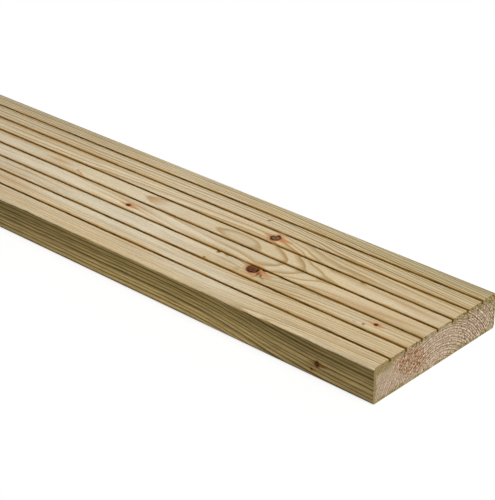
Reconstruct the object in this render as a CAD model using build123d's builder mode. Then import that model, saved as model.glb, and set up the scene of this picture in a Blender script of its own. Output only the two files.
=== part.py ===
"""Grooved softwood decking board.

One sawn and planed plank. It lies on its plain underside, with the grooved walking face up.
The length runs along X, the width along Y, and the origin is the middle of the underside.
All sizes are in millimetres.
"""
import os

from build123d import *

# The planed blank
board_length = 1800.0
board_width = 120.0
board_thickness = 25.0
top_arris_radius = 2.0
underside_arris_radius = 1.5

# The grooves of the walking face, which run the whole length
groove_pitch = 15.2
groove_mouth = 2.2
groove_depth = 2.5
groove_root_radius = 0.8
groove_lip_radius = 0.25
edge_land = 12.0

# As many grooves as leave at least the edge land beside the outer ones
groove_count = int((board_width - 2 * edge_land) / groove_pitch) + 1
groove_root_height = board_thickness - groove_depth + groove_root_radius

with BuildPart() as deck_board:
    with BuildSketch(Plane.YZ) as section:
        # The blank stands on its underside and has four eased long edges
        Rectangle(board_width, board_thickness, align=(Align.CENTER, Align.MIN))
        fillet(section.vertices().group_by(Axis.Y)[0], underside_arris_radius)
        fillet(section.vertices().group_by(Axis.Y)[-1], top_arris_radius)

        # Each groove splays from a round root up to its mouth in the walking face
        with BuildSketch(mode=Mode.PRIVATE) as groove:
            with BuildLine():
                Line((-groove_mouth / 2, board_thickness), (groove_mouth / 2, board_thickness))
            with Locations((0, groove_root_height)):
                Circle(groove_root_radius)
            make_hull()
        with GridLocations(groove_pitch, 0, groove_count, 1):
            add(groove.sketch, mode=Mode.SUBTRACT)

        # The cutter leaves both lips of every groove slightly eased
        walking_face_corners = section.vertices().group_by(Axis.Y)[-1].sort_by(Axis.X)
        groove_lips = walking_face_corners[1:-1]
        fillet(groove_lips, groove_lip_radius)

    # The saw-cut ends are square and sharp
    extrude(amount=board_length / 2, both=True)

deck_board.part.label = "deck_board"

os.makedirs("parts", exist_ok=True)
export_step(deck_board.part, "parts/deck_board.step")
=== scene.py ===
"""Dress the grooved decking board and set it in a plain studio.

One planed pine plank lies on a pale floor. Its growth rings, knots and preservative stain are one solid
pattern that the planed faces, the grooves and the saw-cut ends all cut through, as in real timber.
"""

import logging
import math
from collections.abc import Callable, Mapping, Sequence
from dataclasses import dataclass
from enum import Enum
from functools import partial

import bmesh
import bpy
import numpy as np
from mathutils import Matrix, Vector, noise


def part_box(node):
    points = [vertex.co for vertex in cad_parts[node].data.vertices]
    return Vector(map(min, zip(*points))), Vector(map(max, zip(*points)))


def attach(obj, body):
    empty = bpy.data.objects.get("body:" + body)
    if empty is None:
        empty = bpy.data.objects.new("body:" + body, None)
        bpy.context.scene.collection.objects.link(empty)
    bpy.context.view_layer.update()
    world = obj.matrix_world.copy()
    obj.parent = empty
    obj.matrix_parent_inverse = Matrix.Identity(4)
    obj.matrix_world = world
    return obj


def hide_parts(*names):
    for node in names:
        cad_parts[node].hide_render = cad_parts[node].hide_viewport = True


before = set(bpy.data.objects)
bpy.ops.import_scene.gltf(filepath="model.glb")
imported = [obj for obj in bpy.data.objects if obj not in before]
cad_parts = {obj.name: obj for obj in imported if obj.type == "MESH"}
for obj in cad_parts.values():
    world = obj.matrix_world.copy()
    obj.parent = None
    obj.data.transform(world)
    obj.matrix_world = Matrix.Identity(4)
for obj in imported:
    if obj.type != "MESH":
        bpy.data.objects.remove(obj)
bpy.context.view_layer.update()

MM = 0.001
NODE = "deck_board"
LOG = logging.getLogger("deck_board")

# Node types that are used often, with the choice that they are set to after the space
RANGE = "MapRange"
SMOOTH = "MapRange SMOOTHSTEP"
NOISE = "TexNoise"
COMBINE = "CombineXYZ"
MIX = "Mix"
BLEND = "Mix RGBA"

# The property that a node type's choice sets
CHOICES = {
    "Math": "operation",
    "VectorMath": "operation",
    "MapRange": "interpolation_type",
    "TexNoise": "noise_dimensions",
    "Mix": "data_type",
    "VectorRotate": "rotation_type",
    "Attribute": "attribute_name",
}

Socket = bpy.types.NodeSocket
Adder = Callable[..., Socket]


def linear(code: str) -> tuple[float, float, float, float]:
    """Turn an sRGB hex colour into linear red, green, blue and alpha.

    Args:
        code: Six hex digits after a hash sign.

    Returns:
        The linear colour with an alpha of 1.
    """
    parts = [int(code[i : i + 2], 16) / 255 for i in (1, 3, 5)]
    red, green, blue = (c / 12.92 if c <= 0.04045 else ((c + 0.055) / 1.055) ** 2.4 for c in parts)
    return red, green, blue, 1.0


def add_node(
    tree: bpy.types.NodeTree, kind: str, feeds: Mapping | Sequence = (), out: int = 0
) -> Socket | None:
    """Add a node, feed its inputs and hand back one output.

    Args:
        tree: The node tree that the node joins.
        kind: A maths operation in capitals, or a node type, without its prefix, and its choice.
        feeds: Sockets, values or hex colours, in the order of the inputs in use or keyed by input.
        out: The number of the output to hand back, among those in use.

    Returns:
        The output socket, or None where the node has none.
    """
    name, _, choice = f"Math {kind}".partition(" ") if kind.isupper() else kind.partition(" ")
    node = tree.nodes.new("ShaderNode" + name)
    if choice:
        setattr(node, CHOICES[name], choice)
    if isinstance(feeds, Mapping):
        pairs = [(node.inputs[key], feed) for key, feed in feeds.items()]
    else:
        pairs = zip([socket for socket in node.inputs if socket.enabled], feeds)
    for socket, feed in pairs:
        if isinstance(feed, Socket):
            tree.links.new(feed, socket)
        else:
            socket.default_value = linear(feed) if isinstance(feed, str) else feed
    outputs = [socket for socket in node.outputs if socket.enabled]
    return outputs[out] if outputs else None


def start_nodes(owner: bpy.types.Material | bpy.types.World) -> Adder:
    """Empty the node tree of a material or a world.

    Args:
        owner: The material or the world.

    Returns:
        What adds a node to the tree.
    """
    owner.use_nodes = True
    owner.node_tree.nodes.clear()
    return partial(add_node, owner.node_tree)


class KnotKind(Enum):
    """How the branch stub was when the tree grew round it."""

    SOUND = "sound"
    DEAD = "dead"
    PIN = "pin"
    SPIKE = "spike"


class BlushKind(Enum):
    """What a soft patch of colour on the walking face is."""

    PALE = "pale sapwood"
    RESIN = "resin streak"
    SOOT = "grey smear"
    BARK = "bark crack"
    TORN = "torn fibres"
    # Painted shade in stretches of the grooves
    GROOVE_SHADE = "dark stain"


@dataclass(frozen=True)
class Station:
    """How the stem stands at one place along it, in millimetres.

    Sway moves the middle rings sideways. Thinning is how far a ring lies inside its place at a whorl, and far
    and near are the same at the board's two edges, because the stem grew unevenly.
    """

    from_end: float
    sway: float
    thinning: float
    far: float
    near: float


@dataclass(frozen=True)
class Knot:
    """A branch stub, placed by where its middle comes through the surface, in millimetres."""

    from_end: float
    across: float
    height: float
    radius: float
    kind: KnotKind

    @property
    def middle(self) -> Vector:
        """Give the knot's middle as one vector."""
        return Vector((self.from_end, self.across, self.height))


# How far a knot's resin reaches along the grain and across it, in knot radii, and how strongly it shows
WINGS = {
    KnotKind.SOUND: (2.6, 2.0, 0.9),
    KnotKind.DEAD: (4.4, 1.9, 0.8),
    KnotKind.PIN: (6.5, 2.4, 0.8),
    KnotKind.SPIKE: (7.0, 1.5, 0.9),
}

# How far a knot's rim and its heart sink below the surface, in millimetres
DIPS = {
    KnotKind.SOUND: (0.14, 0.08),
    KnotKind.DEAD: (0.4, 0.12),
    KnotKind.PIN: (0.0, 0.3),
    KnotKind.SPIKE: (0.0, 0.3),
}


@dataclass(frozen=True)
class KnotLook:
    """How a kind of knot shows: its colours, the heart's share, and how ragged and soft its edge is."""

    bark: str
    heart: str
    share: float
    wobble: float
    soft: float


@dataclass(frozen=True)
class Blush:
    """A soft oval patch of colour on the walking face, in millimetres and degrees."""

    from_end: float
    across: float
    half_length: float
    half_breadth: float
    turn: float
    strength: float
    kind: BlushKind


@dataclass(frozen=True)
class Notch:
    """A chip torn out of the walking face by the cutter, in millimetres."""

    from_end: float
    across: float
    reach: float
    depth: float


@dataclass(frozen=True)
class Wood:
    """What the wood is at a point, as sockets of one material, and what adds a node to it."""

    node: Adder
    place: Socket
    along: Socket
    across: Socket
    height: Socket
    radius: Socket
    angle: Socket
    summer: Socket
    year: Socket
    core: Mapping[KnotKind, Socket]
    halo: Socket


@dataclass(frozen=True)
class PineStem:
    """The part of a pine stem that the plank was sawn from, in millimetres."""

    end_x: float
    length: float
    stations: tuple[Station, ...]
    knots: tuple[Knot, ...]
    blushes: tuple[Blush, ...]
    notches: tuple[Notch, ...]
    pith_across: float = 3.0
    pith_height: float = -25.0
    whorl_ring: float = 50.25
    ring_width: float = 1.6
    ring_crowding: float = 0.0024
    taper: float = 0.09
    branch_lean: float = 0.25
    stroke: float = 3.7
    shown: float = 480.0
    knot_reach: float = 10.0
    edge_reach: float = 46.0

    def knots_near(self, along: float) -> list[Knot]:
        """List the knots that can reach a place along the stem."""
        return [knot for knot in self.knots if abs(along - knot.from_end) < self.knot_reach]

    def add_rings(self, node: Adder) -> Wood:
        """Add the growth rings and knots to a material's nodes.

        Args:
            node: What adds a node.

        Returns:
            The sockets that say what the wood is at the shaded point.
        """
        position = node("TexCoord", out=3)
        point = node("VectorMath SCALE", [position, 1 / MM])
        from_middle, across, height = node("SeparateXYZ", [point]).node.outputs
        along = node("SUBTRACT", [self.end_x, from_middle])
        place = node(COMBINE, [along, across, height])

        sway, thinning, far, near = (
            self._profile(node, along, [(s.from_end, getattr(s, name)) for s in self.stations])
            for name in ("sway", "thinning", "far", "near")
        )
        outer = node(SMOOTH, [node("ABSOLUTE", [across]), 8.0, 34.0, -1.0, 0.0])
        side = node("MULTIPLY_ADD", [sway, outer, node("SUBTRACT", [across, self.pith_across])])
        for edge, reach in ((far, self.edge_reach), (near, -self.edge_reach)):
            share = node(SMOOTH, [across, 0.3 * reach, reach, 0.0, 1.0])
            thinning = node(MIX, [share, thinning, edge])
        rise = node("SUBTRACT", [height, self.pith_height])
        arm = node(COMBINE, [0.0, side, rise])
        radius = node("VectorMath LENGTH", [arm])
        angle = node("ARCTAN2", [side, rise])
        core, halo, bulge = self._knots(node, along, across, rise)
        grown = node("SUBTRACT", [node("ADD", [radius, thinning]), bulge])
        slant = self._slant(node, arm, radius)
        grown = self._wander(node, [along, angle, radius], slant, grown)

        lead = node("Clamp", [node("MULTIPLY", [slant, self.stroke / self.ring_width]), 0.04, 0.5])
        count = self._count(node, grown)
        count = node("MULTIPLY_ADD", [lead, -0.475, count])
        ring = node("FRACT", [count])
        year = node("FLOOR", [count])
        start = node("MULTIPLY_ADD", [lead, -1.3, 1.0])
        crest = node("MULTIPLY_ADD", [lead, -0.3, 1.0])
        rising = node(SMOOTH, [ring, start, crest, 0.0, 1.0])
        ending = node(SMOOTH, [ring, crest, 1.0, 1.0, 0.0])
        summer = node("MULTIPLY", [rising, ending])
        return Wood(node, place, along, across, height, radius, angle, summer, year, core, halo)

    def _profile(self, node: Adder, along: Socket, points: Sequence[tuple[float, float]]) -> Socket:
        """Run a smooth line through values that are given along the stem.

        Args:
            node: What adds a node.
            along: Millimetres from the photographed end.
            points: Each place along the stem with its value.

        Returns:
            The value at the shaded point.
        """
        lowest = min(value for _, value in points)
        span = max(value for _, value in points) - lowest
        stretches = []
        for start, stop in ((0.0, self.shown), (self.shown, self.length)):
            share = node(RANGE, [along, start, stop])
            curve = node("FloatCurve", {"Value": share})
            mapping = curve.node.mapping
            line = mapping.curves[0].points
            knobs = [(place, value) for place, value in points if start <= place <= stop]
            knobs = [((place - start) / (stop - start), (value - lowest) / span) for place, value in knobs]
            line[0].location = knobs[0]
            line[1].location = knobs[-1]
            for knob in knobs[1:-1]:
                line.new(*knob)
            for knob in line:
                knob.handle_type = "AUTO_CLAMPED"
            mapping.update()
            stretches.append(curve)
        beyond = node("GREATER_THAN", [along, self.shown])
        value = node(MIX, [beyond, stretches[0], stretches[1]])
        return node("MULTIPLY_ADD", [value, span, lowest])

    def _wander(self, node: Adder, polar: Sequence[Socket], slant: Socket, grown: Socket) -> Socket:
        """Let the rings wander a little, as a living stem's do, and least where a face only grazes them.

        Args:
            node: What adds a node.
            polar: Place along the stem, angle round the pith and distance from it.
            slant: How steeply the surface cuts the rings.
            grown: The even radius.

        Returns:
            The uneven radius.
        """
        spot = node(COMBINE, polar)
        loose = node(RANGE, [slant, 0.12, 0.45, 0.12, 1.0])
        for cell, size in (((240.0, 0.45, 40.0), 0.9), ((46.0, 0.10, 10.0), 0.32)):
            stretched = node("VectorMath DIVIDE", [spot, cell])
            swing = node("SUBTRACT", [node(NOISE, [stretched, 1.0, 1.0]), 0.5])
            swing = node("MULTIPLY", [swing, loose])
            grown = node("MULTIPLY_ADD", [swing, size, grown])
        return grown

    def _slant(self, node: Adder, arm: Socket, radius: Socket) -> Socket:
        """Find how steeply the surface cuts the rings, so that a line keeps its width on every face.

        Args:
            node: What adds a node.
            arm: The way from the pith to the point.
            radius: Millimetres from the pith.

        Returns:
            Rings crossed for each ring's width along the surface, from 0 to 1.
        """
        outward = node("VectorMath DIVIDE", [arm, radius])
        outward = node("VectorMath ADD", [outward, (self.taper, 0.0, 0.0)])
        normal = node("NewGeometry", out=1)
        facing = node("VectorMath DOT_PRODUCT", [outward, normal])
        facing = node("MULTIPLY", [facing, facing])
        rest = node("MAXIMUM", [node("SUBTRACT", [1.0 + self.taper**2, facing]), 0.0])
        return node("SQRT", [rest])

    def _count(self, node: Adder, grown: Socket) -> Socket:
        """Count the rings, some of them wide and some narrow, and closer together further out.

        Args:
            node: What adds a node.
            grown: The radius that the ring has at a whorl.

        Returns:
            The year in which the wood grew, with its share of that year after the point.
        """
        since = node("SUBTRACT", [grown, self.whorl_ring])
        pace = node("MULTIPLY_ADD", [since, self.ring_crowding, 1 / self.ring_width])
        count = node("MULTIPLY", [since, pace])
        for beat, start, size in ((1.27, 0.0, 0.17), (2.7, 0.7, 0.09)):
            wave = node("SINE", [node("MULTIPLY_ADD", [since, beat, start])])
            count = node("MULTIPLY_ADD", [wave, size, count])
        return node("ADD", [count, -0.09 * math.sin(0.7)])

    def _knots(
        self, node: Adder, along: Socket, across: Socket, rise: Socket
    ) -> tuple[dict[KnotKind, Socket], Socket, Socket]:
        """Add every knot as a cone that grows from the pith.

        Args:
            node: What adds a node.
            along: Millimetres from the photographed end.
            across: Millimetres from the board's middle line.
            rise: Millimetres above the pith.

        Returns:
            The distance to the nearest knot of each kind in knot radii, the resin halo's strength, and
            how far the rings bulge, in millimetres.
        """
        side = node("SUBTRACT", [across, self.pith_across])
        arm = node(COMBINE, [side, rise])
        radius = node("VectorMath LENGTH", [arm])
        angle = node("ARCTAN2", [side, rise])
        leant = node("MULTIPLY_ADD", [radius, self.branch_lean, along])
        share = node("DIVIDE", [leant, radius])
        per_mm = node("DIVIDE", [1.0, radius])
        here = node(COMBINE, [share, angle])
        unit = node(COMBINE, [per_mm, 1.0])
        core: dict[KnotKind, Socket] = {}
        halo = 0.0
        bulge = 0.0
        for knot in self.knots:
            out_side = knot.across - self.pith_across
            out_rise = knot.height - self.pith_height
            reach = math.hypot(out_side, out_rise)
            spot = (-(knot.from_end + self.branch_lean * reach), -math.atan2(out_side, out_rise), 0.0)
            size = knot.radius / reach
            offset = node("VectorMath MULTIPLY_ADD", [unit, spot, here])
            stretch = 1.35 if knot.kind is KnotKind.PIN else 1.04
            scaled = node("VectorMath DIVIDE", [offset, (stretch * size, size, 1.0)])
            near = node("VectorMath LENGTH", [scaled])
            if knot.kind in core:
                core[knot.kind] = node("MINIMUM", [core[knot.kind], near])
            else:
                core[knot.kind] = near
            wing_length, wing_breadth, wing_strength = WINGS[knot.kind]
            shifted = node("VectorMath ABSOLUTE", [node("VectorMath ADD", [scaled, (0.5, 0.0, 0.0)])])
            spindle = (1 / wing_length, 1 / wing_breadth, 0.0)
            far = node("VectorMath DOT_PRODUCT", [shifted, spindle])
            glow = node(RANGE, [far, 0.25, 1.0, wing_strength, 0.0])
            halo = node("MAXIMUM", [halo, glow])
            lift = node(SMOOTH, [near, 0.6, 3.2, 0.1 * knot.radius, 0.0])
            bulge = node("ADD", [bulge, lift])
        return core, halo, bulge

    def add_blush(self, wood: Wood, kind: BlushKind) -> Socket:
        """Add the soft patches of one kind.

        Args:
            wood: What the wood is at the shaded point.
            kind: The kind of patch.

        Returns:
            The patches' strength, from 0 to 1.
        """
        node = wood.node
        strength = 0.0
        for blush in (b for b in self.blushes if b.kind is kind):
            turn = math.radians(blush.turn)
            run = (math.cos(turn) / blush.half_length, math.sin(turn) / blush.half_length, 0.0)
            rise = (-math.sin(turn) / blush.half_breadth, math.cos(turn) / blush.half_breadth, 0.0)
            offset = node("VectorMath SUBTRACT", [wood.place, (blush.from_end, blush.across, 0.0)])
            lengthways = node("VectorMath DOT_PRODUCT", [offset, run])
            sideways = node("VectorMath DOT_PRODUCT", [offset, rise])
            oval = node("VectorMath LENGTH", [node(COMBINE, [lengthways, sideways])])
            patch = node(SMOOTH, [oval, 0.15, 1.0, blush.strength, 0.0])
            strength = node("MAXIMUM", [strength, patch])
        above = node("GREATER_THAN", [wood.height, 15.0])
        return node("MULTIPLY", [strength, above])


@dataclass(frozen=True)
class PlanedTreatedPine:
    """Planed pine after pressure treatment: pale straw, stained olive where the preservative went in deep.

    It gives the eye soft brown summer-wood lines, orange wings beside dark knots and a matt, open surface.
    It carries painted shade in its grooves, on its long edges, along the foot of its sides and towards its
    far part, and a painted highlight on its long edges.
    The fine fibres are drawn about half a millimetre wide, coarser than real ones, so that they show.
    """

    stem: PineStem
    pitch_mm: float
    name: str = "planed_treated_pine"
    spring: str = "#d1c4a8"
    warm: str = "#cdb892"
    rim: str = "#bcae8a"
    summer: str = "#93753f"
    summer_warm: str = "#a97f46"
    summer_far: str = "#7b683d"
    flank: str = "#c8ad72"
    flank_deep: str = "#98824f"
    flank_summer: str = "#50401f"
    # The grooves' colour is stain with painted shade, and their deeper tone is painted shadow
    groove: str = "#8f6a1e"
    groove_shadow: str = "#523906"
    lip: str = "#b98840"
    pale: str = "#d6c9ae"
    resin: str = "#b78a55"
    soot: str = "#9c8a66"
    bark: str = "#633b20"
    halo: str = "#bf7a48"
    halo_flank: str = "#7d4c22"
    sound: str = "#6e3c26"
    dead: str = "#94623c"
    dead_bark: str = "#292b27"
    ring_bark: str = "#211812"
    roughness: float = 0.7
    gloss: float = 0.05

    def material(self) -> bpy.types.Material:
        """Make the material.

        Returns:
            The finished material.
        """
        made = bpy.data.materials.new(self.name)
        node = start_nodes(made)
        wood = self.stem.add_rings(node)
        flank = self._flank(wood)

        fibre = node(NOISE, [node("VectorMath DIVIDE", [wood.place, (22.0, 0.55, 0.55)]), 1.0, 3.0])
        colour = self._wood(wood, flank)
        colour = self._lines(wood, flank, colour)
        spread = node(RANGE, [flank, 0.0, 1.0, 0.6, 1.9])
        shade = node("MULTIPLY_ADD", [node("SUBTRACT", [fibre, 0.5]), spread, 1.0])
        pores = node("VectorMath DIVIDE", [wood.place, (2.6, 0.7, 0.7)])
        pores = node(RANGE, [node(NOISE, [pores, 1.0, 1.0]), 0.25, 0.75, -0.07, 0.07])
        shade = node("ADD", [shade, pores])
        good_year = node("TexNoise 1D", [node("MULTIPLY", [wood.year, 0.61]), 1.0, 0.0])
        good_year = node(RANGE, [good_year, 0.25, 0.75, -0.09, 0.09])
        shade = node("ADD", [shade, good_year])
        # Painted shade: the planed faces grow darker towards the far part of the length, where the light
        # falls off
        painted_falloff_and_tone = node(SMOOTH, [wood.along, 270.0, 420.0, 1.0, 0.88])
        shade = node("MULTIPLY", [node("MULTIPLY", [shade, painted_falloff_and_tone]), self._arris(wood, flank)])
        colour = node("VectorMath SCALE", [colour, shade])
        for kind, code in ((BlushKind.RESIN, self.resin), (BlushKind.SOOT, self.soot)):
            patch = self.stem.add_blush(wood, kind)
            colour = node(BLEND, [patch, colour, code])
        colour = self._knots(wood, flank, colour)
        crack = self.stem.add_blush(wood, BlushKind.BARK)
        colour = node(BLEND, [crack, colour, self.bark])
        colour = self._grooves(wood, colour)

        relief = node("MULTIPLY_ADD", [fibre, 0.8, wood.summer])
        bump = node("Bump", {"Strength": 0.6, "Distance": 0.12 * MM, "Height": relief})
        shader = {"Base Color": colour, "Roughness": self.roughness, "Normal": bump}
        shader["Specular IOR Level"] = self.gloss
        shader = node("BsdfPrincipled", shader)
        node("OutputMaterial", {"Surface": shader})
        return made

    def _flank(self, wood: Wood) -> Socket:
        """Tell the long sides, which took up more stain, from the other faces, with a wavy upper edge.

        Args:
            wood: What the wood is at the shaded point.

        Returns:
            1 on the long sides, 0 elsewhere.
        """
        node = wood.node
        outer = node(RANGE, [node("ABSOLUTE", [wood.across]), 58.4, 58.6, 0.0, 1.0])
        ripple = node("TexNoise 1D", [node("DIVIDE", [wood.along, 24.0]), 1.0, 2.0])
        ripple = node(RANGE, [ripple, 0.25, 0.75, -0.4, 0.3])
        edge = node("ADD", [wood.height, ripple])
        climb = node(SMOOTH, [wood.along, 60.0, 100.0, 0.5, 0.0])
        edge = node("SUBTRACT", [edge, climb])
        below = node(SMOOTH, [edge, 23.1, 22.4, 0.0, 1.0])
        return node("MULTIPLY", [outer, below])

    def _arris(self, wood: Wood, flank: Socket) -> Socket:
        """Paint light on the planed long edges: painted shade where the face turns over, a painted highlight
        below that.

        Args:
            wood: What the wood is at the shaded point.
            flank: 1 on the long sides, 0 elsewhere.

        Returns:
            What the brightness is multiplied by.
        """
        node = wood.node
        outer = node(SMOOTH, [node("ABSOLUTE", [wood.across]), 56.8, 58.0, 0.0, 1.0])
        inner = node("SUBTRACT", [1.0, flank])
        edge = node("MULTIPLY", [outer, inner])
        # Painted shade where the face turns over, and a painted highlight lower on the rounded edge
        painted_edge_light = node(SMOOTH, [wood.height, 24.9, 24.2, 0.92, 1.13])
        return node(MIX, [edge, 1.0, painted_edge_light])

    def _wood(self, wood: Wood, flank: Socket) -> Socket:
        """Colour the spring wood: pale in the middle, olive towards the far edge, deeper on the sides, with
        painted shade on them.

        Args:
            wood: What the wood is at the shaded point.
            flank: 1 on the long sides, 0 elsewhere.

        Returns:
            The colour.
        """
        node = wood.node
        blotch = node(NOISE, [node("VectorMath DIVIDE", [wood.place, (170.0, 11.0, 14.0)]), 1.0, 2.0])
        warm = node(SMOOTH, [wood.along, 0.0, 330.0, 0.22, 0.0])
        warm = node(RANGE, [node("ADD", [blotch, warm]), 0.35, 0.75, 0.0, 1.0])
        colour = node(BLEND, [warm, self.spring, self.warm])
        pale = self.stem.add_blush(wood, BlushKind.PALE)
        colour = node(BLEND, [pale, colour, self.pale])
        edge = node(SMOOTH, [wood.across, 26.0, 62.0, 0.0, 0.6])
        cured = node(SMOOTH, [wood.along, 40.0, 140.0, 2.1, 0.5])
        damp = node(SMOOTH, [wood.along, 280.0, 360.0, 0.0, 0.35])
        cured = node("ADD", [cured, damp])
        edge = node("MULTIPLY", [edge, cured])
        colour = node(BLEND, [edge, colour, self.rim])
        deep = node(SMOOTH, [node("MULTIPLY_ADD", [blotch, 14.0, wood.height]), 14.0, 30.0, 0.0, 1.0])
        sides = node(BLEND, [deep, self.flank, self.flank_deep])
        # The sides are darker towards the photographed end
        side_darkening = node(SMOOTH, [wood.along, 25.0, 130.0, 0.72, 1.0])
        # Painted shade along the foot of the sides
        painted_foot_shade = node(SMOOTH, [wood.height, 0.4, 2.0, 0.5, 1.0])
        side_darkening = node("MULTIPLY", [side_darkening, painted_foot_shade])
        # Painted shade on the sides towards the far part of the length, where the light falls off
        shaded = node(SMOOTH, [wood.along, 200.0, 320.0, 1.0, 0.8])
        side_darkening = node("MULTIPLY", [side_darkening, shaded])
        sides = node("VectorMath SCALE", [sides, side_darkening])
        return node(BLEND, [flank, colour, sides])

    def _lines(self, wood: Wood, flank: Socket, colour: Socket) -> Socket:
        """Draw the summer-wood lines, which are strong on the sides and faint in the middle of the face.

        Args:
            wood: What the wood is at the shaded point.
            flank: 1 on the long sides, 0 elsewhere.
            colour: The spring wood's colour.

        Returns:
            The colour with the lines.
        """
        node = wood.node
        run = node("DIVIDE", [wood.along, 110.0])
        turn = node("MULTIPLY", [wood.year, 1.7])
        fade = node("TexNoise 2D", [node(COMBINE, [run, turn]), 1.0, 1.0])
        fade = node(RANGE, [fade, 0.3, 0.7, 0.34, 0.76])
        edge = node(SMOOTH, [wood.across, 24.0, 52.0, 0.0, 0.6])
        bolder = node(SMOOTH, [wood.along, 200.0, 270.0, 0.28, 0.42])
        strong = node("ADD", [node("MULTIPLY_ADD", [flank, bolder, fade]), edge])
        middle = node("ABSOLUTE", [node("SUBTRACT", [wood.across, 5.0])])
        middle = node(SMOOTH, [middle, 10.0, 24.0, 1.0, 0.0])
        bold = node(SMOOTH, [wood.along, 40.0, 92.0, -0.35, 0.17])
        strong = node("MULTIPLY_ADD", [middle, bold, strong])
        outer = node(SMOOTH, [node("ABSOLUTE", [wood.across]), 57.6, 58.8, 0.0, -0.3])
        inner = node("SUBTRACT", [1.0, flank])
        strong = node("MULTIPLY_ADD", [outer, inner, strong])
        pale = self.stem.add_blush(wood, BlushKind.PALE)
        strong = node("Clamp", [node("MULTIPLY_ADD", [pale, -0.7, strong]), 0.0, 1.0])
        line = node("MULTIPLY", [wood.summer, strong])
        warm = node(SMOOTH, [wood.along, 90.0, 230.0, 0.15, 0.85])
        ink = node(BLEND, [warm, self.summer, self.summer_warm])
        ink = node(BLEND, [flank, node(BLEND, [edge, ink, self.summer_far]), self.flank_summer])
        return node(BLEND, [line, colour, ink])

    def _knots(self, wood: Wood, flank: Socket, colour: Socket) -> Socket:
        """Colour the knots and the resin beside them.

        Args:
            wood: What the wood is at the shaded point.
            flank: 1 on the long sides, 0 elsewhere.
            colour: The wood's colour.

        Returns:
            The colour with the knots.
        """
        node = wood.node
        wisp = node(NOISE, [node("VectorMath DIVIDE", [wood.place, (7.0, 0.8, 0.8)]), 1.0, 1.0])
        glow = node(RANGE, [node("MULTIPLY", [wood.halo, wisp]), 0.07, 0.38, 0.0, 0.92])
        tint = node(BLEND, [flank, self.halo, self.halo_flank])
        colour = node(BLEND, [glow, colour, tint])
        ragged = node("SUBTRACT", [node(NOISE, [wood.place, 1 / 2.4, 2.0]), 0.5])
        chipped = node(RANGE, [node(NOISE, [wood.place, 1 / 3.6, 1.0]), 0.4, 0.56, 0.8, 1.0])
        looks = {
            KnotKind.SOUND: KnotLook(self.ring_bark, self.sound, 0.64, 0.35, 0.12),
            KnotKind.DEAD: KnotLook(self.dead_bark, self.dead, 0.6, 0.8, 0.12),
            KnotKind.PIN: KnotLook(self.bark, self.ring_bark, 0.62, 0.3, 0.12),
            KnotKind.SPIKE: KnotLook(self.ring_bark, self.bark, 0.6, 1.1, 0.4),
        }
        for kind, near in wood.core.items():
            look = looks[kind]
            near = node("MULTIPLY_ADD", [ragged, look.wobble, near])
            aura = node(SMOOTH, [near, 1.0, 1.7, 0.5, 0.0])
            colour = node(BLEND, [aura, colour, tint])
            inside = node(SMOOTH, [near, 1 - look.soft, 1 + look.soft, 1.0, 0.0])
            inside = node("MULTIPLY", [inside, chipped])
            colour = node(BLEND, [inside, colour, look.bark])
            inside = node(SMOOTH, [near, look.share - 0.16, look.share + 0.12, 1.0, 0.0])
            colour = node(BLEND, [inside, colour, look.heart])
            years = node("SINE", [node("MULTIPLY", [near, 26.0])])
            years = node("MULTIPLY", [node(RANGE, [years, 0.0, 1.0, 0.0, 0.5]), inside])
            colour = node(BLEND, [years, colour, look.bark])
            pith = node(SMOOTH, [near, 0.06, 0.3, 0.85, 0.0])
            colour = node(BLEND, [pith, colour, look.bark])
        return colour

    def _grooves(self, wood: Wood, colour: Socket) -> Socket:
        """Darken the grooves with stain and painted shade, unevenly along their length and most towards their
        roots.

        Args:
            wood: What the wood is at the shaded point.
            colour: The wood's colour.

        Returns:
            The colour with the stain and painted shade in the grooves.
        """
        node = wood.node
        depth = node("Attribute groove", out=2)
        torn = node(NOISE, [node("VectorMath DIVIDE", [wood.place, (24.0, 7.0, 1000.0)]), 1.0, 3.0])
        bare = node(RANGE, [torn, 0.4, 0.7, 0.0, 0.22])
        bare = node("MAXIMUM", [self.stem.add_blush(wood, BlushKind.TORN), bare])
        lip = node("PINGPONG", [node("SUBTRACT", [wood.across, 0.4]), self.pitch_mm / 2])
        lip = node(SMOOTH, [lip, 1.2, 2.6, 1.0, 0.0])
        soaked = node(RANGE, [torn, 0.35, 0.6, 0.1, 0.6])
        lip = node("MULTIPLY", [lip, soaked])
        upper = node(RANGE, [wood.height, 20.0, 20.1, 0.0, 1.0])
        lip = node("MULTIPLY", [lip, upper])
        outer = node("LESS_THAN", [node("ABSOLUTE", [wood.across]), 52.0])
        lip = node("MULTIPLY", [lip, outer])
        colour = node(BLEND, [lip, colour, self.lip])
        # Stain with painted shade fills the grooves
        stain = node(SMOOTH, [depth, 0.0, 0.16, 0.0, 1.0])
        clear = node("SUBTRACT", [1.0, bare])
        stain = node("MULTIPLY", [stain, clear])
        # Painted shade: darker stretches along the grooves, and darker towards their roots
        groove_shade = node(RANGE, [torn, 0.48, 0.3, 0.0, 0.4])
        groove_shade = node("MAXIMUM", [self.stem.add_blush(wood, BlushKind.GROOVE_SHADE), groove_shade])
        sunk = node(SMOOTH, [depth, 0.1, 0.45, 0.0, 0.9])
        groove_shade = node("Clamp", [node("ADD", [groove_shade, sunk])])
        tone = node(BLEND, [groove_shade, self.groove, self.groove_shadow])
        return node(BLEND, [stain, colour, tone])


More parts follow.
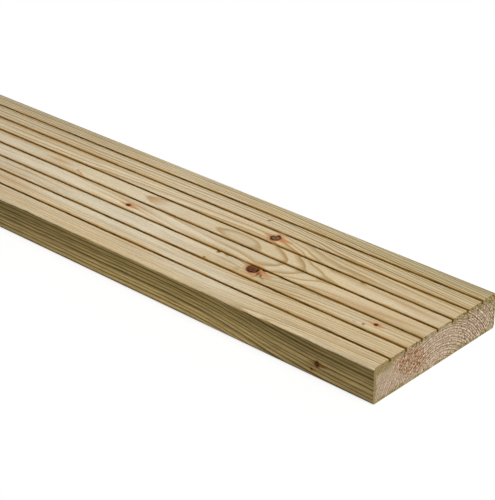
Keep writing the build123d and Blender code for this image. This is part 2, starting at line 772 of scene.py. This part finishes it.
@dataclass(frozen=True)
class SawnEndGrain:
    """Cross-cut pine: a pinkish untreated heart inside an olive rim where the preservative soaked in.

    It gives the eye torn, speckled fibres, darker arcs of summer wood and no shine. The torn fibres are drawn
    about a millimetre wide, coarser than real ones, so that they show.
    """

    stem: PineStem
    half_width: float
    thickness: float
    name: str = "sawn_end_grain"
    heart: str = "#d6bea1"
    summer: str = "#795d43"
    rust: str = "#b5763e"
    rim: str = "#a5915f"
    saw_turn: float = math.radians(40)
    torn_turn: float = math.radians(28)
    roughness: float = 0.85
    gloss: float = 0.05

    def material(self) -> bpy.types.Material:
        """Make the material.

        Returns:
            The finished material.
        """
        made = bpy.data.materials.new(self.name)
        node = start_nodes(made)
        wood = self.stem.add_rings(node)
        arc = node("MULTIPLY", [wood.angle, self.stem.whorl_ring])
        arc = node(COMBINE, [arc, wood.radius, wood.along])
        arc = node("VectorMath DIVIDE", [arc, (3.4, 0.85, 4.0)])
        dash = node(NOISE, [arc, 1.0, 1.0])
        speck = node(NOISE, [wood.place, 1 / 1.4, 1.0])
        chewed = self._chewed(wood)

        broken = node(RANGE, [dash, 0.38, 0.58, 0.1, 1.0])
        line = node("MULTIPLY", [wood.summer, broken])
        slit = node(SMOOTH, [wood.across, 12.0, 34.0, 0.85, 1.15])
        line = node("Clamp", [node("MULTIPLY", [line, slit])])
        colour = node(BLEND, [line, self.heart, self.summer])
        gouge = node("VectorRotate X_AXIS", {0: wood.place, "Angle": self.saw_turn})
        gouge = node(NOISE, [node("VectorMath DIVIDE", [gouge, (4.0, 4.2, 1.3)]), 1.0, 1.0])
        burnt = node("MULTIPLY", [node(RANGE, [gouge, 0.44, 0.6, 0.04, 0.8]), chewed])
        colour = node(BLEND, [burnt, colour, self.rust])
        stain = self._stain(wood)
        colour = node(BLEND, [stain, colour, self.rim])

        plain = node(SMOOTH, [wood.across, -46.0, -36.0, 0.35, 1.0])
        rough = node("MULTIPLY", [node("MULTIPLY_ADD", [chewed, 0.4, plain]), slit])
        torn = node(RANGE, [node("ADD", [dash, speck]), 0.6, 1.3, -1.05, 0.45])
        level = node("MULTIPLY_ADD", [plain, 0.17, 0.99])
        shade = node("MULTIPLY_ADD", [torn, rough, level])
        # The end is a little brighter towards its far side
        painted_falloff_and_tone = node(SMOOTH, [wood.across, -5.0, 30.0, 1.0, 1.02])
        shade = node("MULTIPLY", [shade, painted_falloff_and_tone])
        colour = node("VectorMath SCALE", [colour, shade])

        relief = node("MULTIPLY_ADD", [wood.summer, 0.5, speck])
        bump = node("Bump", {"Strength": 0.8, "Distance": 0.5 * MM, "Height": relief})
        shader = {"Base Color": colour, "Roughness": self.roughness, "Normal": bump}
        shader["Specular IOR Level"] = self.gloss
        shader = node("BsdfPrincipled", shader)
        node("OutputMaterial", {"Surface": shader})
        return made

    def _chewed(self, wood: Wood) -> Socket:
        """Mark where the saw tore the heart, as a slanting oval on the end.

        Args:
            wood: What the wood is at the shaded point.

        Returns:
            How badly the wood is torn, from 0 to 1.
        """
        node = wood.node
        spot = node(COMBINE, [wood.across, wood.height])
        spot = node("VectorMath SUBTRACT", [spot, (-25.0, 15.0, 0.0)])
        spot = node("VectorRotate Z_AXIS", {0: spot, "Angle": self.torn_turn})
        spot = node("VectorMath LENGTH", [node("VectorMath DIVIDE", [spot, (23.0, 12.0, 1.0)])])
        return node(SMOOTH, [spot, 0.45, 1.0, 1.0, 0.0])

    def _stain(self, wood: Wood) -> Socket:
        """Mark where the preservative soaked in from the faces and through the sapwood.

        Args:
            wood: What the wood is at the shaded point.

        Returns:
            The stain's strength, from 0 to 1.
        """
        node = wood.node
        side = node("SUBTRACT", [self.half_width, node("ABSOLUTE", [wood.across])])
        top = node("MULTIPLY", [node("SUBTRACT", [self.thickness, wood.height]), 0.75])
        bottom = node("MULTIPLY", [wood.height, 1.1])
        edge = node("MINIMUM", [node("MINIMUM", [side, top]), bottom])
        soak = node(RANGE, [node(NOISE, [wood.place, 1 / 7, 2.0]), 0.3, 0.7, -1.5, 2.5])
        edge = node("ADD", [edge, soak])
        skin = node(SMOOTH, [edge, 1.0, 3.6, 1.0, 0.0])
        sap = node(SMOOTH, [node("SUBTRACT", [wood.radius, soak]), 60.0, 68.0, 0.0, 0.85])
        low = node(SMOOTH, [wood.height, 16.0, 20.5, 0.0, 1.0])
        sap = node("MULTIPLY", [sap, low])
        skin = node("MAXIMUM", [skin, sap])
        band = node(SMOOTH, [wood.across, 12.0, 30.0, 0.0, 1.0])
        under = node(SMOOTH, [node("MULTIPLY_ADD", [soak, 1.2, wood.height]), 18.5, 24.0, 0.0, 0.8])
        band = node("MULTIPLY", [band, under])
        return node("MAXIMUM", [skin, band])


# Where the strips of the left and the right half start on the bake map, and how broad they are
BAKE_MARGIN = 0.004
WALKING_ROW = (BAKE_MARGIN, 0.28, 0.27)
BACK_ROW = (0.556, 0.732, 0.17)
END_ROW = (0.908, 0.908, 0.085)
END_COLUMN = (BAKE_MARGIN, 0.504, 0.49)

# Millimetres left free beside the middle of the length, where a face can reach past it
OVERLAP = 5

# Millimetres within which a point counts as on a face
TOUCH = 0.01


@dataclass
class DeckBoard:
    """The plank, with sizes in millimetres that repeat the CAD section."""

    length: float
    width: float
    thickness: float
    top_arris: float = 2.0
    underside_arris: float = 1.5
    groove_pitch: float = 15.2
    groove_count: int = 7
    groove_mouth: float = 2.2
    groove_depth: float = 2.5
    groove_root: float = 0.8
    groove_lip: float = 0.25
    rib_cells: int = 5
    side_cells: int = 9
    underside_step: float = 10.0
    fine_length: float = 500.0
    fine_loops: int = 330
    coarse_loops: int = 230
    knot_cuts: int = 4
    knot_margin: float = 1.5
    dip_reach: float = 1.5
    dip_rim: float = 0.92
    dip_rim_breadth: float = 0.17
    dip_slope: float = 0.3
    wall_sway: float = 0.14
    wall_sway_length: float = 13.0
    wall_pinch: float = 0.16
    wall_pinch_length: float = 5.5
    root_rise: float = 0.3
    root_rise_length: float = 17.0
    root_half: float = 0.3
    lane_gap: float = 7.3
    chip_breadth: float = 1.3
    tear_depth: float = 0.35
    tear_size: float = 1.7

    def _groove_points(self) -> list[tuple[float, float]]:
        """Work out one groove's outline from its left lip to its right lip.

        Returns:
            Points as distance from the groove's middle and depth below the face.
        """
        half = self.groove_mouth / 2
        drop = self.groove_depth - self.groove_root
        lean = math.atan2(half, drop) - math.asin(self.groove_root / math.hypot(half, drop))
        lip_angle = math.pi / 2 - lean
        setback = self.groove_lip * math.tan(lip_angle / 2)
        points = []
        for step in range(3):
            turn = lip_angle * step / 2
            side = half + setback - self.groove_lip * math.sin(turn)
            points.append((side, self.groove_lip * (1 - math.cos(turn))))
        for step in range(3):
            turn = lean + (math.pi / 2 - lean) * step / 2
            points.append((self.groove_root * math.cos(turn), drop + self.groove_root * math.sin(turn)))
        left = [(-side, depth) for side, depth in points]
        return left + points[-2::-1]

    def _columns(self) -> list[tuple[Vector, Vector]]:
        """Work out the section's columns from the near side to the far side.

        Returns:
            For each column, the top point and the underside point, in millimetres.
        """
        half = self.width / 2
        edge = []
        for step in range(4):
            turn = math.pi / 2 * step / 3
            inset = 1 - math.cos(turn)
            drop = 1 - math.sin(turn)
            top = Vector((0, -half + self.top_arris * inset, self.thickness - self.top_arris * drop))
            low = Vector((0, -half + self.underside_arris * inset, self.underside_arris * drop))
            edge.append((top, low))
        columns = list(edge)
        groove = self._groove_points()
        first = -self.groove_pitch * (self.groove_count - 1) / 2
        for number in range(self.groove_count + 1):
            start = columns[-1][0].y
            middle = first + number * self.groove_pitch
            last_rib = number == self.groove_count
            stop = half - self.top_arris if last_rib else middle + groove[0][0]
            for cell in range(1, self.rib_cells):
                columns.append(self._column(start + (stop - start) * cell / self.rib_cells, 0.0))
            if not last_rib:
                columns.extend(self._column(middle + side, depth) for side, depth in groove)
        mirrored = [(Vector((0, -top.y, top.z)), Vector((0, -low.y, low.z))) for top, low in reversed(edge)]
        return columns + mirrored

    def _column(self, across: float, depth: float) -> tuple[Vector, Vector]:
        """Place one upright column of the section, whose foot is shared with its neighbours.

        Args:
            across: Millimetres from the middle line.
            depth: Millimetres below the walking face.

        Returns:
            The top point and the underside point, in millimetres.
        """
        reach = self.width / 2 - self.underside_arris
        foot = round(across / self.underside_step) * self.underside_step
        foot = min(max(foot, -reach), reach)
        return Vector((0, across, self.thickness - depth)), Vector((0, foot, 0))

    def _section(self) -> bmesh.types.BMesh:
        """Model the section as one upright sheet at the far end.

        Returns:
            The mesh, in metres.
        """
        columns = self._columns()
        last = len(columns) - 1
        bm = bmesh.new()
        bmesh.ops.create_grid(bm, x_segments=last, y_segments=self.side_cells, size=1.0)
        for vert in bm.verts:
            top, low = columns[round((vert.co.x + 1) / 2 * last)]
            share = (vert.co.y + 1) / 2
            spot = low.lerp(top, share)
            spot.x = -self.length / 2
            vert.co = spot * MM
        bmesh.ops.remove_doubles(bm, verts=bm.verts[:], dist=1e-3 * MM)
        return bm

    def build(self, stem: PineStem) -> bpy.types.Object:
        """Model the plank by drawing its section out along the length, then roughen it as the cutter did.

        Args:
            stem: The stem whose knots and chips show in the surface.

        Returns:
            The plank's object, at the origin.
        """
        bm = self._section()
        here = -self.length / 2
        coarse_length = self.length - self.fine_length
        for run, loops in ((coarse_length, self.coarse_loops), (self.fine_length, self.fine_loops)):
            cap = [face for face in bm.faces if face.calc_center_median().x > (here - 1) * MM]
            made = bmesh.ops.extrude_face_region(bm, geom=cap)
            moved = [part for part in made["geom"] if isinstance(part, bmesh.types.BMVert)]
            bmesh.ops.translate(bm, verts=moved, vec=(run * MM, 0, 0))
            runs = [edge for edge in bm.edges if edge.calc_length() > 0.9 * run * MM]
            bmesh.ops.subdivide_edges(bm, edges=runs, cuts=loops - 1, use_grid_fill=True)
            here += run
        bmesh.ops.recalc_face_normals(bm, faces=bm.faces[:])
        for face in bm.faces:
            face.smooth = True
            face.material_index = 1 if abs(face.normal.x) > 0.9 else 0
        self._unwrap(bm)
        self._refine(bm, stem)
        self._roughen(bm, stem)
        for edge in bm.edges:
            faces = edge.link_faces
            edge.smooth = len(faces) == 2 and faces[0].material_index == faces[1].material_index
        mesh = bpy.data.meshes.new(NODE)
        bm.to_mesh(mesh)
        bm.free()
        self._mark(mesh)
        board = bpy.data.objects.new("grooved_plank", mesh)
        bpy.context.scene.collection.objects.link(board)
        return board

    def _nearest_groove(self, across: float) -> tuple[int, float]:
        """Find the groove nearest to a place on the section.

        Args:
            across: Millimetres from the middle line.

        Returns:
            The groove's number, and the distance from its middle in millimetres.
        """
        first = -self.groove_pitch * (self.groove_count - 1) / 2
        number = min(max(round((across - first) / self.groove_pitch), 0), self.groove_count - 1)
        return number, across - first - number * self.groove_pitch

    def _walk(self, across: float, height: float) -> float:
        """Measure the way over the walking face, down and up every groove, from the near side.

        Args:
            across: Millimetres from the middle line.
            height: Millimetres above the underside.

        Returns:
            Millimetres along the section.
        """
        half = self.width / 2
        depth = self.thickness - height
        down_and_up = 2 * self.groove_depth
        start = across + half + self.top_arris
        if across < -half + self.top_arris:
            return start - depth
        if across > half - self.top_arris:
            return start + down_and_up * self.groove_count + depth
        number, offset = self._nearest_groove(across)
        if offset < 0:
            return start + down_and_up * number + depth
        return start + down_and_up * (number + 1) - depth

    def _unwrap(self, bm: bmesh.types.BMesh) -> None:
        """Lay the faces out on the bake map: the long faces in two halves, the ends beside each other.

        Args:
            bm: The plank's mesh.
        """
        layer = bm.loops.layers.uv.new("OFBake")
        half_length = self.length / 2
        half_width = self.width / 2
        face_girth = self.width + 2 * self.top_arris + 2 * self.groove_depth * self.groove_count
        back_girth = self.width + 2 * self.thickness
        for face in bm.faces:
            middle = face.calc_center_median() / MM
            right = middle.x > 0
            walking = middle.z > self.thickness / 2 and abs(middle.y) < half_width - TOUCH
            for loop in face.loops:
                x, y, z = loop.vert.co / MM
                along = x if right else x + half_length
                u = BAKE_MARGIN + along / (half_length + OVERLAP) * (1 - 2 * BAKE_MARGIN)
                if face.material_index == 1:
                    u = END_COLUMN[right] + (y + half_width) / self.width * END_COLUMN[2]
                    v = END_ROW[right] + z / self.thickness * END_ROW[2]
                elif walking:
                    v = WALKING_ROW[right] + self._walk(y, z) / face_girth * WALKING_ROW[2]
                else:
                    girth = y + half_width + self.thickness + (z if y > 0 else -z)
                    v = BACK_ROW[right] + girth / back_girth * BACK_ROW[2]
                loop[layer].uv = (u, v)

    def _refine(self, bm: bmesh.types.BMesh, stem: PineStem) -> None:
        """Divide the faces round each knot, so that it shows in the surface.

        Args:
            bm: The plank's mesh.
            stem: The stem whose knots show.
        """
        edges = set()
        for face in bm.faces:
            middle = face.calc_center_median() / MM
            place = Vector((stem.end_x - middle.x, middle.y, middle.z))
            for knot in stem.knots_near(place.x):
                if (place - knot.middle).length < 1.2 * knot.radius + self.knot_margin:
                    edges.update(face.edges)
        bmesh.ops.subdivide_edges(bm, edges=list(edges), cuts=self.knot_cuts, use_grid_fill=True)

    def _roughen(self, bm: bmesh.types.BMesh, stem: PineStem) -> None:
        """Sink the knots and chips, make the grooves' walls uneven and tear the ends, all inwards.

        Args:
            bm: The plank's mesh.
            stem: The stem whose knots and chips show.
        """
        for vert in bm.verts:
            x, y, z = vert.co / MM
            along = stem.end_x - x
            at_end = abs(x) > self.length / 2 - TOUCH
            sunk = sum(self._knot_dip(knot, Vector((along, y, z))) for knot in stem.knots_near(along))
            if abs(y) > self.width / 2 - TOUCH:
                y -= math.copysign(sunk, y)
            elif z > self.thickness - self.groove_depth - TOUCH:
                y, z = self._uneven(along, y, z)
                for notch in stem.notches:
                    aside = (y - notch.across) / self.chip_breadth
                    gap = math.hypot((along - notch.from_end) / notch.reach, aside)
                    sunk += notch.depth * max(1 - gap * gap, 0.0)
                z -= sunk
            if at_end:
                torn = max(noise.noise(Vector((y / self.tear_size, z / self.tear_size, x))), 0.0)
                x -= math.copysign(self.tear_depth * torn, x)
            vert.co = Vector((x, y, z)) * MM

    def _knot_dip(self, knot: Knot, place: Vector) -> float:
        """Work out how far a knot sinks the surface.

        Args:
            knot: The knot.
            place: Millimetres from the end, across and up.

        Returns:
            The depth in millimetres.
        """
        near = (place - knot.middle).length / knot.radius
        if near > self.dip_reach:
            return 0.0
        rim = math.exp(-(((near - self.dip_rim) / self.dip_rim_breadth) ** 2))
        heart = min(max((1.0 - near) / self.dip_slope, 0.0), 1.0)
        rim_depth, heart_depth = DIPS[knot.kind]
        return rim_depth * rim + heart_depth * heart

    def _uneven(self, along: float, across: float, height: float) -> tuple[float, float]:
        """Let a groove's walls wander and its root rise and fall.

        Args:
            along: Millimetres from the photographed end.
            across: Millimetres from the middle line.
            height: Millimetres above the underside.

        Returns:
            The point's new place across and its new height.
        """
        number, offset = self._nearest_groove(across)
        if abs(offset) > self.groove_mouth:
            return across, height
        wall = math.copysign(1.0, offset) if abs(offset) > self.root_half else 0.0
        lane = self.lane_gap * number
        sway = self.wall_sway * noise.noise(Vector((along / self.wall_sway_length, lane, 0.0)))
        pinch = self.wall_pinch * noise.noise(Vector((along / self.wall_pinch_length, lane, 3.0 + wall)))
        depth = (self.thickness - height) / self.groove_depth
        rise = self.root_rise * max(noise.noise(Vector((along / self.root_rise_length, lane, 9.0))), 0.0)
        return across + sway + wall * pinch, height + rise * depth * depth

    def _mark(self, mesh: bpy.types.Mesh) -> None:
        """Write how deep in a groove each vertex lies.

        Args:
            mesh: The plank's mesh.
        """
        places = np.empty(len(mesh.vertices) * 3, dtype=np.float32)
        mesh.vertices.foreach_get("co", places)
        _, across, height = (places.reshape(-1, 3) / MM).T
        lane = across / self.groove_pitch
        gap = np.abs(lane - np.round(lane)) * self.groove_pitch
        depth = np.clip((self.thickness - height) / self.groove_depth, 0.0, 1.0)
        inside = (gap < 0.7 * self.groove_mouth) & (np.abs(across) < self.width / 2 - self.top_arris)
        inside &= height > self.thickness / 2
        mark = mesh.attributes.new("groove", "FLOAT", "POINT")
        mark.data.foreach_set("value", np.where(inside, depth, 0.0).astype(np.float32))

    def dress(self, board: bpy.types.Object, stem: PineStem) -> None:
        """Give the plank its finishes.

        Args:
            board: The plank's object.
            stem: The stem that it was sawn from.
        """
        board.data.materials.append(PlanedTreatedPine(stem, self.groove_pitch).material())
        board.data.materials.append(SawnEndGrain(stem, self.width / 2, self.thickness).material())


@dataclass
class Studio:
    """A pale floor, soft light from above and the front, and the photograph's camera."""

    end_x: float
    azimuth: float = 42.639
    elevation: float = 27.791
    focal_pixels: float = 1636.58
    image_height: float = 500.0
    eye: tuple[float, float, float] = (482.850, -690.698, 517.910)
    floor_side: float = 20.0
    floor_gap: float = 0.2
    sun_from: tuple[float, float, float] = (0.52, -0.26, 0.81)
    sun_level: float = 0.99
    sun_angle: float = 60.0
    sky_level: float = 0.20
    bounce: float = 0.4
    glow: float = 0.72

    def add_camera(self) -> None:
        """Place the camera as the photograph's, from the photographed end of the board."""
        turn = math.radians(self.azimuth)
        tilt = math.radians(self.elevation)
        back = Vector((math.sin(turn) * math.cos(tilt), -math.cos(turn) * math.cos(tilt), math.sin(tilt)))
        data = bpy.data.cameras.new("camera")
        data.lens = self.focal_pixels / self.image_height * data.sensor_width
        camera = bpy.data.objects.new("camera", data)
        camera.location = (Vector(self.eye) + Vector((self.end_x, 0, 0))) * MM
        camera.rotation_euler = (-back).to_track_quat("-Z", "Y").to_euler()
        bpy.context.scene.collection.objects.link(camera)
        bpy.context.scene.camera = camera

    def add_light(self) -> None:
        """Light the board softly from above, the front and the right, with a dim even sky."""
        data = bpy.data.lights.new("soft_key", "SUN")
        data.energy = self.sun_level * math.pi
        data.angle = math.radians(self.sun_angle)
        lamp = bpy.data.objects.new("soft_key", data)
        lamp.rotation_euler = Vector(self.sun_from).to_track_quat("Z", "Y").to_euler()
        bpy.context.scene.collection.objects.link(lamp)
        world = bpy.data.worlds.new("studio")
        node = start_nodes(world)
        sky = node(BLEND, [self._seen(node), (*[self.sky_level] * 3, 1), (1, 1, 1, 1)])
        sky = node("Background", {"Color": sky, "Strength": 1.0})
        node("OutputWorld", {"Surface": sky})
        bpy.context.scene.world = world

    def _seen(self, node: Adder) -> Socket:
        """Tell the rays that show the background from those that light the board.

        Args:
            node: What adds a node.

        Returns:
            1 for camera, glossy and transmission rays, and 0 for the rest.
        """
        rays = node("LightPath").node.outputs
        seen = node("MAXIMUM", [rays["Is Camera Ray"], rays["Is Glossy Ray"]])
        return node("MAXIMUM", [seen, rays["Is Transmission Ray"]])

    def add_floor(self) -> None:
        """Lay the pale floor just under the board, white to the eye and with a faint shadow."""
        bm = bmesh.new()
        bmesh.ops.create_grid(bm, x_segments=1, y_segments=1, size=self.floor_side / 2)
        bmesh.ops.translate(bm, verts=bm.verts[:], vec=(0, 0, -self.floor_gap * MM))
        mesh = bpy.data.meshes.new("floor")
        bm.to_mesh(mesh)
        bm.free()
        paper = bpy.data.materials.new("pale_studio_paper")
        node = start_nodes(paper)
        seen = self._seen(node)
        shade = node(BLEND, [seen, (*[self.bounce] * 3, 1), (1, 1, 1, 1)])
        matt = node("BsdfDiffuse", {"Color": shade})
        white = node("Emission", {"Strength": 1.0})
        share = node("MULTIPLY", [seen, self.glow])
        shader = node("MixShader", [share, matt, white])
        node("OutputMaterial", {"Surface": shader})
        mesh.materials.append(paper)
        floor = bpy.data.objects.new("floor", mesh)
        bpy.context.scene.collection.objects.link(floor)


def pine_stem(end_x: float, length: float) -> PineStem:
    """Describe the stem that the plank was sawn from, as read from its faces.

    Args:
        end_x: Where the photographed end lies, in millimetres along X.
        length: The plank's length in millimetres.

    Returns:
        The stem.
    """
    sound, dead, pin, spike = KnotKind
    stations = (
        Station(0, -2.0, 6.4, 7.6, 5.9), Station(40, -2.0, 5.95, 6.0, 5.3),
        Station(60, -2.2, 5.6, 5.2, 4.6), Station(84, -2.4, 5.0, 4.3, 3.5),
        Station(90, -3.0, 4.88, 4.1, 3.1), Station(96, -3.4, 4.5, 3.85, 2.7),
        Station(102, -3.7, 4.12, 3.6, 2.3), Station(106, -3.9, 3.88, 3.4, 2.1),
        Station(108, -3.9, 3.66, 3.3, 2.0), Station(112, -4.0, 3.15, 3.1, 1.75),
        Station(117, -4.0, 2.6, 2.75, 1.45), Station(120, -3.9, 2.05, 2.5, 1.2),
        Station(122, -3.8, 1.7, 2.4, 1.15), Station(130, -3.0, 1.08, 2.1, 0.8),
        Station(139, -1.4, 0.5, 1.7, 0.45), Station(147, 0.8, 0.25, 1.3, 0.25),
        Station(165, 3.5, 0.0, 0.5, 0.05), Station(184, 3.8, 0.25, 0.2, 0.0),
        Station(220, 5.0, 1.0, 0.4, 0.05), Station(251, 6.0, 1.83, 0.6, 0.1),
        Station(300, 5.6, 2.75, 0.9, 0.2), Station(342, 5.0, 3.45, 1.2, 0.3),
        Station(400, 3.0, 3.3, 1.4, 0.4), Station(480, 1.0, 2.8, 1.3, 0.5),
        Station(560, 0.0, 1.9, 1.0, 0.4), Station(610, -1.0, 0.9, 0.8, 0.3),
        Station(640, -1.0, 0.1, 0.3, 0.3), Station(675, -1.0, 0.5, 0.3, 0.4),
        Station(760, 0.0, 2.2, 1.6, 1.2), Station(900, 1.0, 3.6, 3.0, 2.6),
        Station(1010, 1.0, 4.7, 4.2, 3.8), Station(1060, 0.0, 3.4, 3.6, 3.4),
        Station(1095, -2.0, 1.0, 2.2, 2.2), Station(1120, -3.0, 0.1, 1.0, 1.0),
        Station(1150, -3.0, 0.6, 0.6, 0.5), Station(1240, -2.0, 2.2, 1.4, 1.0),
        Station(1400, -1.0, 3.9, 3.2, 2.6), Station(1490, 0.0, 4.7, 4.2, 3.8),
        Station(1530, 1.0, 3.3, 3.4, 3.2), Station(1560, 1.0, 0.8, 2.2, 2.2),
        Station(1580, 1.0, 0.1, 1.2, 1.4), Station(1620, 1.0, 0.9, 0.8, 0.9),
        Station(1700, 0.0, 2.3, 1.6, 1.4), Station(1800, -1.0, 3.4, 2.8, 2.6),
    )
    knots = (
        Knot(148.8, 22.4, 25, 3.6, dead), Knot(130.8, -19, 25, 4.7, sound), Knot(255, -9, 25, 1.7, pin),
        Knot(30, -21, 25, 1.25, pin), Knot(42.5, -60, 10, 1.6, spike), Knot(46.6, -60, 5, 0.6, pin),
        Knot(628, 14, 25, 4.2, sound), Knot(655, -27, 25, 3.1, dead), Knot(640, 60, 12, 3.0, sound),
        Knot(702, 33, 25, 1.6, pin), Knot(1098, -8, 25, 5.2, sound), Knot(1122, 29, 25, 3.4, sound),
        Knot(1130, -60, 14, 2.6, spike), Knot(1240, 41, 25, 1.4, pin), Knot(1545, 21, 25, 3.9, dead),
        Knot(1572, -24, 25, 4.6, sound), Knot(1560, 60, 9, 2.4, sound), Knot(1690, -35, 25, 1.5, pin),
    )
    pale, resin, soot = BlushKind.PALE, BlushKind.RESIN, BlushKind.SOOT
    bark, torn, groove_shade = BlushKind.BARK, BlushKind.TORN, BlushKind.GROOVE_SHADE
    blushes = (
        Blush(250, -25, 130, 24, 0, 0.9, pale), Blush(420, -8, 110, 26, 0, 0.8, pale),
        Blush(340, -8, 120, 13, 0, 0.9, pale), Blush(205, -8, 50, 8, 0, 0.8, pale),
        Blush(230, 37, 130, 9, 0, 0.5, pale), Blush(250, 54, 70, 8, 0, 0.5, pale),
        Blush(150, -46, 70, 15, 0, 0.8, pale), Blush(236, 4, 20, 7, 0, 0.7, pale),
        Blush(50, -24, 55, 7, 0, 0.35, pale), Blush(350, -38, 55, 7, 0, 0.3, resin),
        Blush(360, -52, 60, 9, 0, 0.2, resin), Blush(119, -20.5, 8, 4.5, 0, 0.7, resin),
        Blush(136.5, -17.5, 3, 4, 0, 0.5, resin), Blush(40, -9.5, 60, 3.2, -4.5, 0.6, resin),
        Blush(30, 9.7, 46, 2.4, 3.3, 0.6, resin), Blush(344, 8, 21, 3.0, 0, 0.7, resin),
        Blush(316, 2.5, 8, 1.6, 25, 0.8, resin), Blush(244, 8, 15, 5, 0, 0.35, resin),
        Blush(400, 12, 5, 3, 0, 0.35, resin), Blush(139, 23.4, 8, 1.3, -9, 0.9, resin),
        Blush(155.5, 21.8, 5, 1.0, 8, 0.8, resin), Blush(149.5, 28, 3, 2.4, 0, 0.6, resin),
        Blush(145, 17, 5, 1.8, 0, 0.6, resin), Blush(139, -25.5, 5.0, 3.4, 80, 0.45, soot),
        Blush(151, -21, 13, 4, 0, 0.3, soot), Blush(124, -26, 3.4, 2.2, -66, 0.65, soot),
        Blush(124.0, -22.0, 4.6, 1.7, 72, 0.85, bark), Blush(121.3, -22.6, 3.8, 1.5, 53, 0.8, bark),
        Blush(118.3, -24.8, 3.2, 1.3, 10, 0.5, bark), Blush(322, 5.2, 2.6, 1.9, 40, 0.42, bark),
        Blush(36, -25.5, 1.8, 1.5, 0, 0.85, bark), Blush(42, -26.5, 2.4, 1.0, 0, 0.4, bark),
        Blush(168.5, 39, 3.2, 1.0, -50, 1.0, bark), Blush(163.3, -17, 1.6, 0.9, -60, 0.8, bark),
        Blush(164.8, -28.2, 1.8, 0.9, 60, 0.8, bark), Blush(67, 13.0, 5, 1.4, 6, 0.9, resin),
        Blush(142.5, -15.2, 9, 3, 0, 0.55, torn), Blush(150.5, 30.4, 6, 3, 0, 0.5, torn),
        # The last three patches are painted shade in stretches of the grooves
        Blush(144, 15.2, 4.5, 3, 0, 0.65, torn), Blush(123, -15.2, 6, 3, 0, 1.0, groove_shade),
        Blush(160, 15.2, 14, 3, 0, 1.0, groove_shade), Blush(138, 30.4, 10, 3, 0, 0.9, groove_shade),
    )
    notches = (
        Notch(163.3, -16.8, 1.8, 0.7), Notch(164.8, -28.6, 2.0, 0.7), Notch(69, 13.6, 2.2, 0.25),
        Notch(168.5, 39, 1.6, 0.4), Notch(156, -16.6, 3.0, 0.25), Notch(124, -17.0, 2.4, 0.5),
    )
    return PineStem(end_x, length, stations, knots, blushes, notches)


def main() -> None:
    """Build the board and the studio, and report each piece."""
    logging.basicConfig(level=logging.INFO, format="%(message)s")
    low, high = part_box(NODE)
    size = (high - low) / MM
    end_x = high.x / MM
    plank = DeckBoard(size.x, size.y, size.z)
    stem = pine_stem(end_x, size.x)
    board = plank.build(stem)
    plank.dress(board, stem)
    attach(board, "root")
    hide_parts(NODE)
    triangles = sum(face.loop_total - 2 for face in board.data.polygons)
    LOG.info("%s: %d triangles", board.name, triangles)

    studio = Studio(end_x)
    studio.add_camera()
    studio.add_light()
    studio.add_floor()
    bpy.context.scene.view_settings.view_transform = "Standard"


if __name__ == "__main__":
    main()
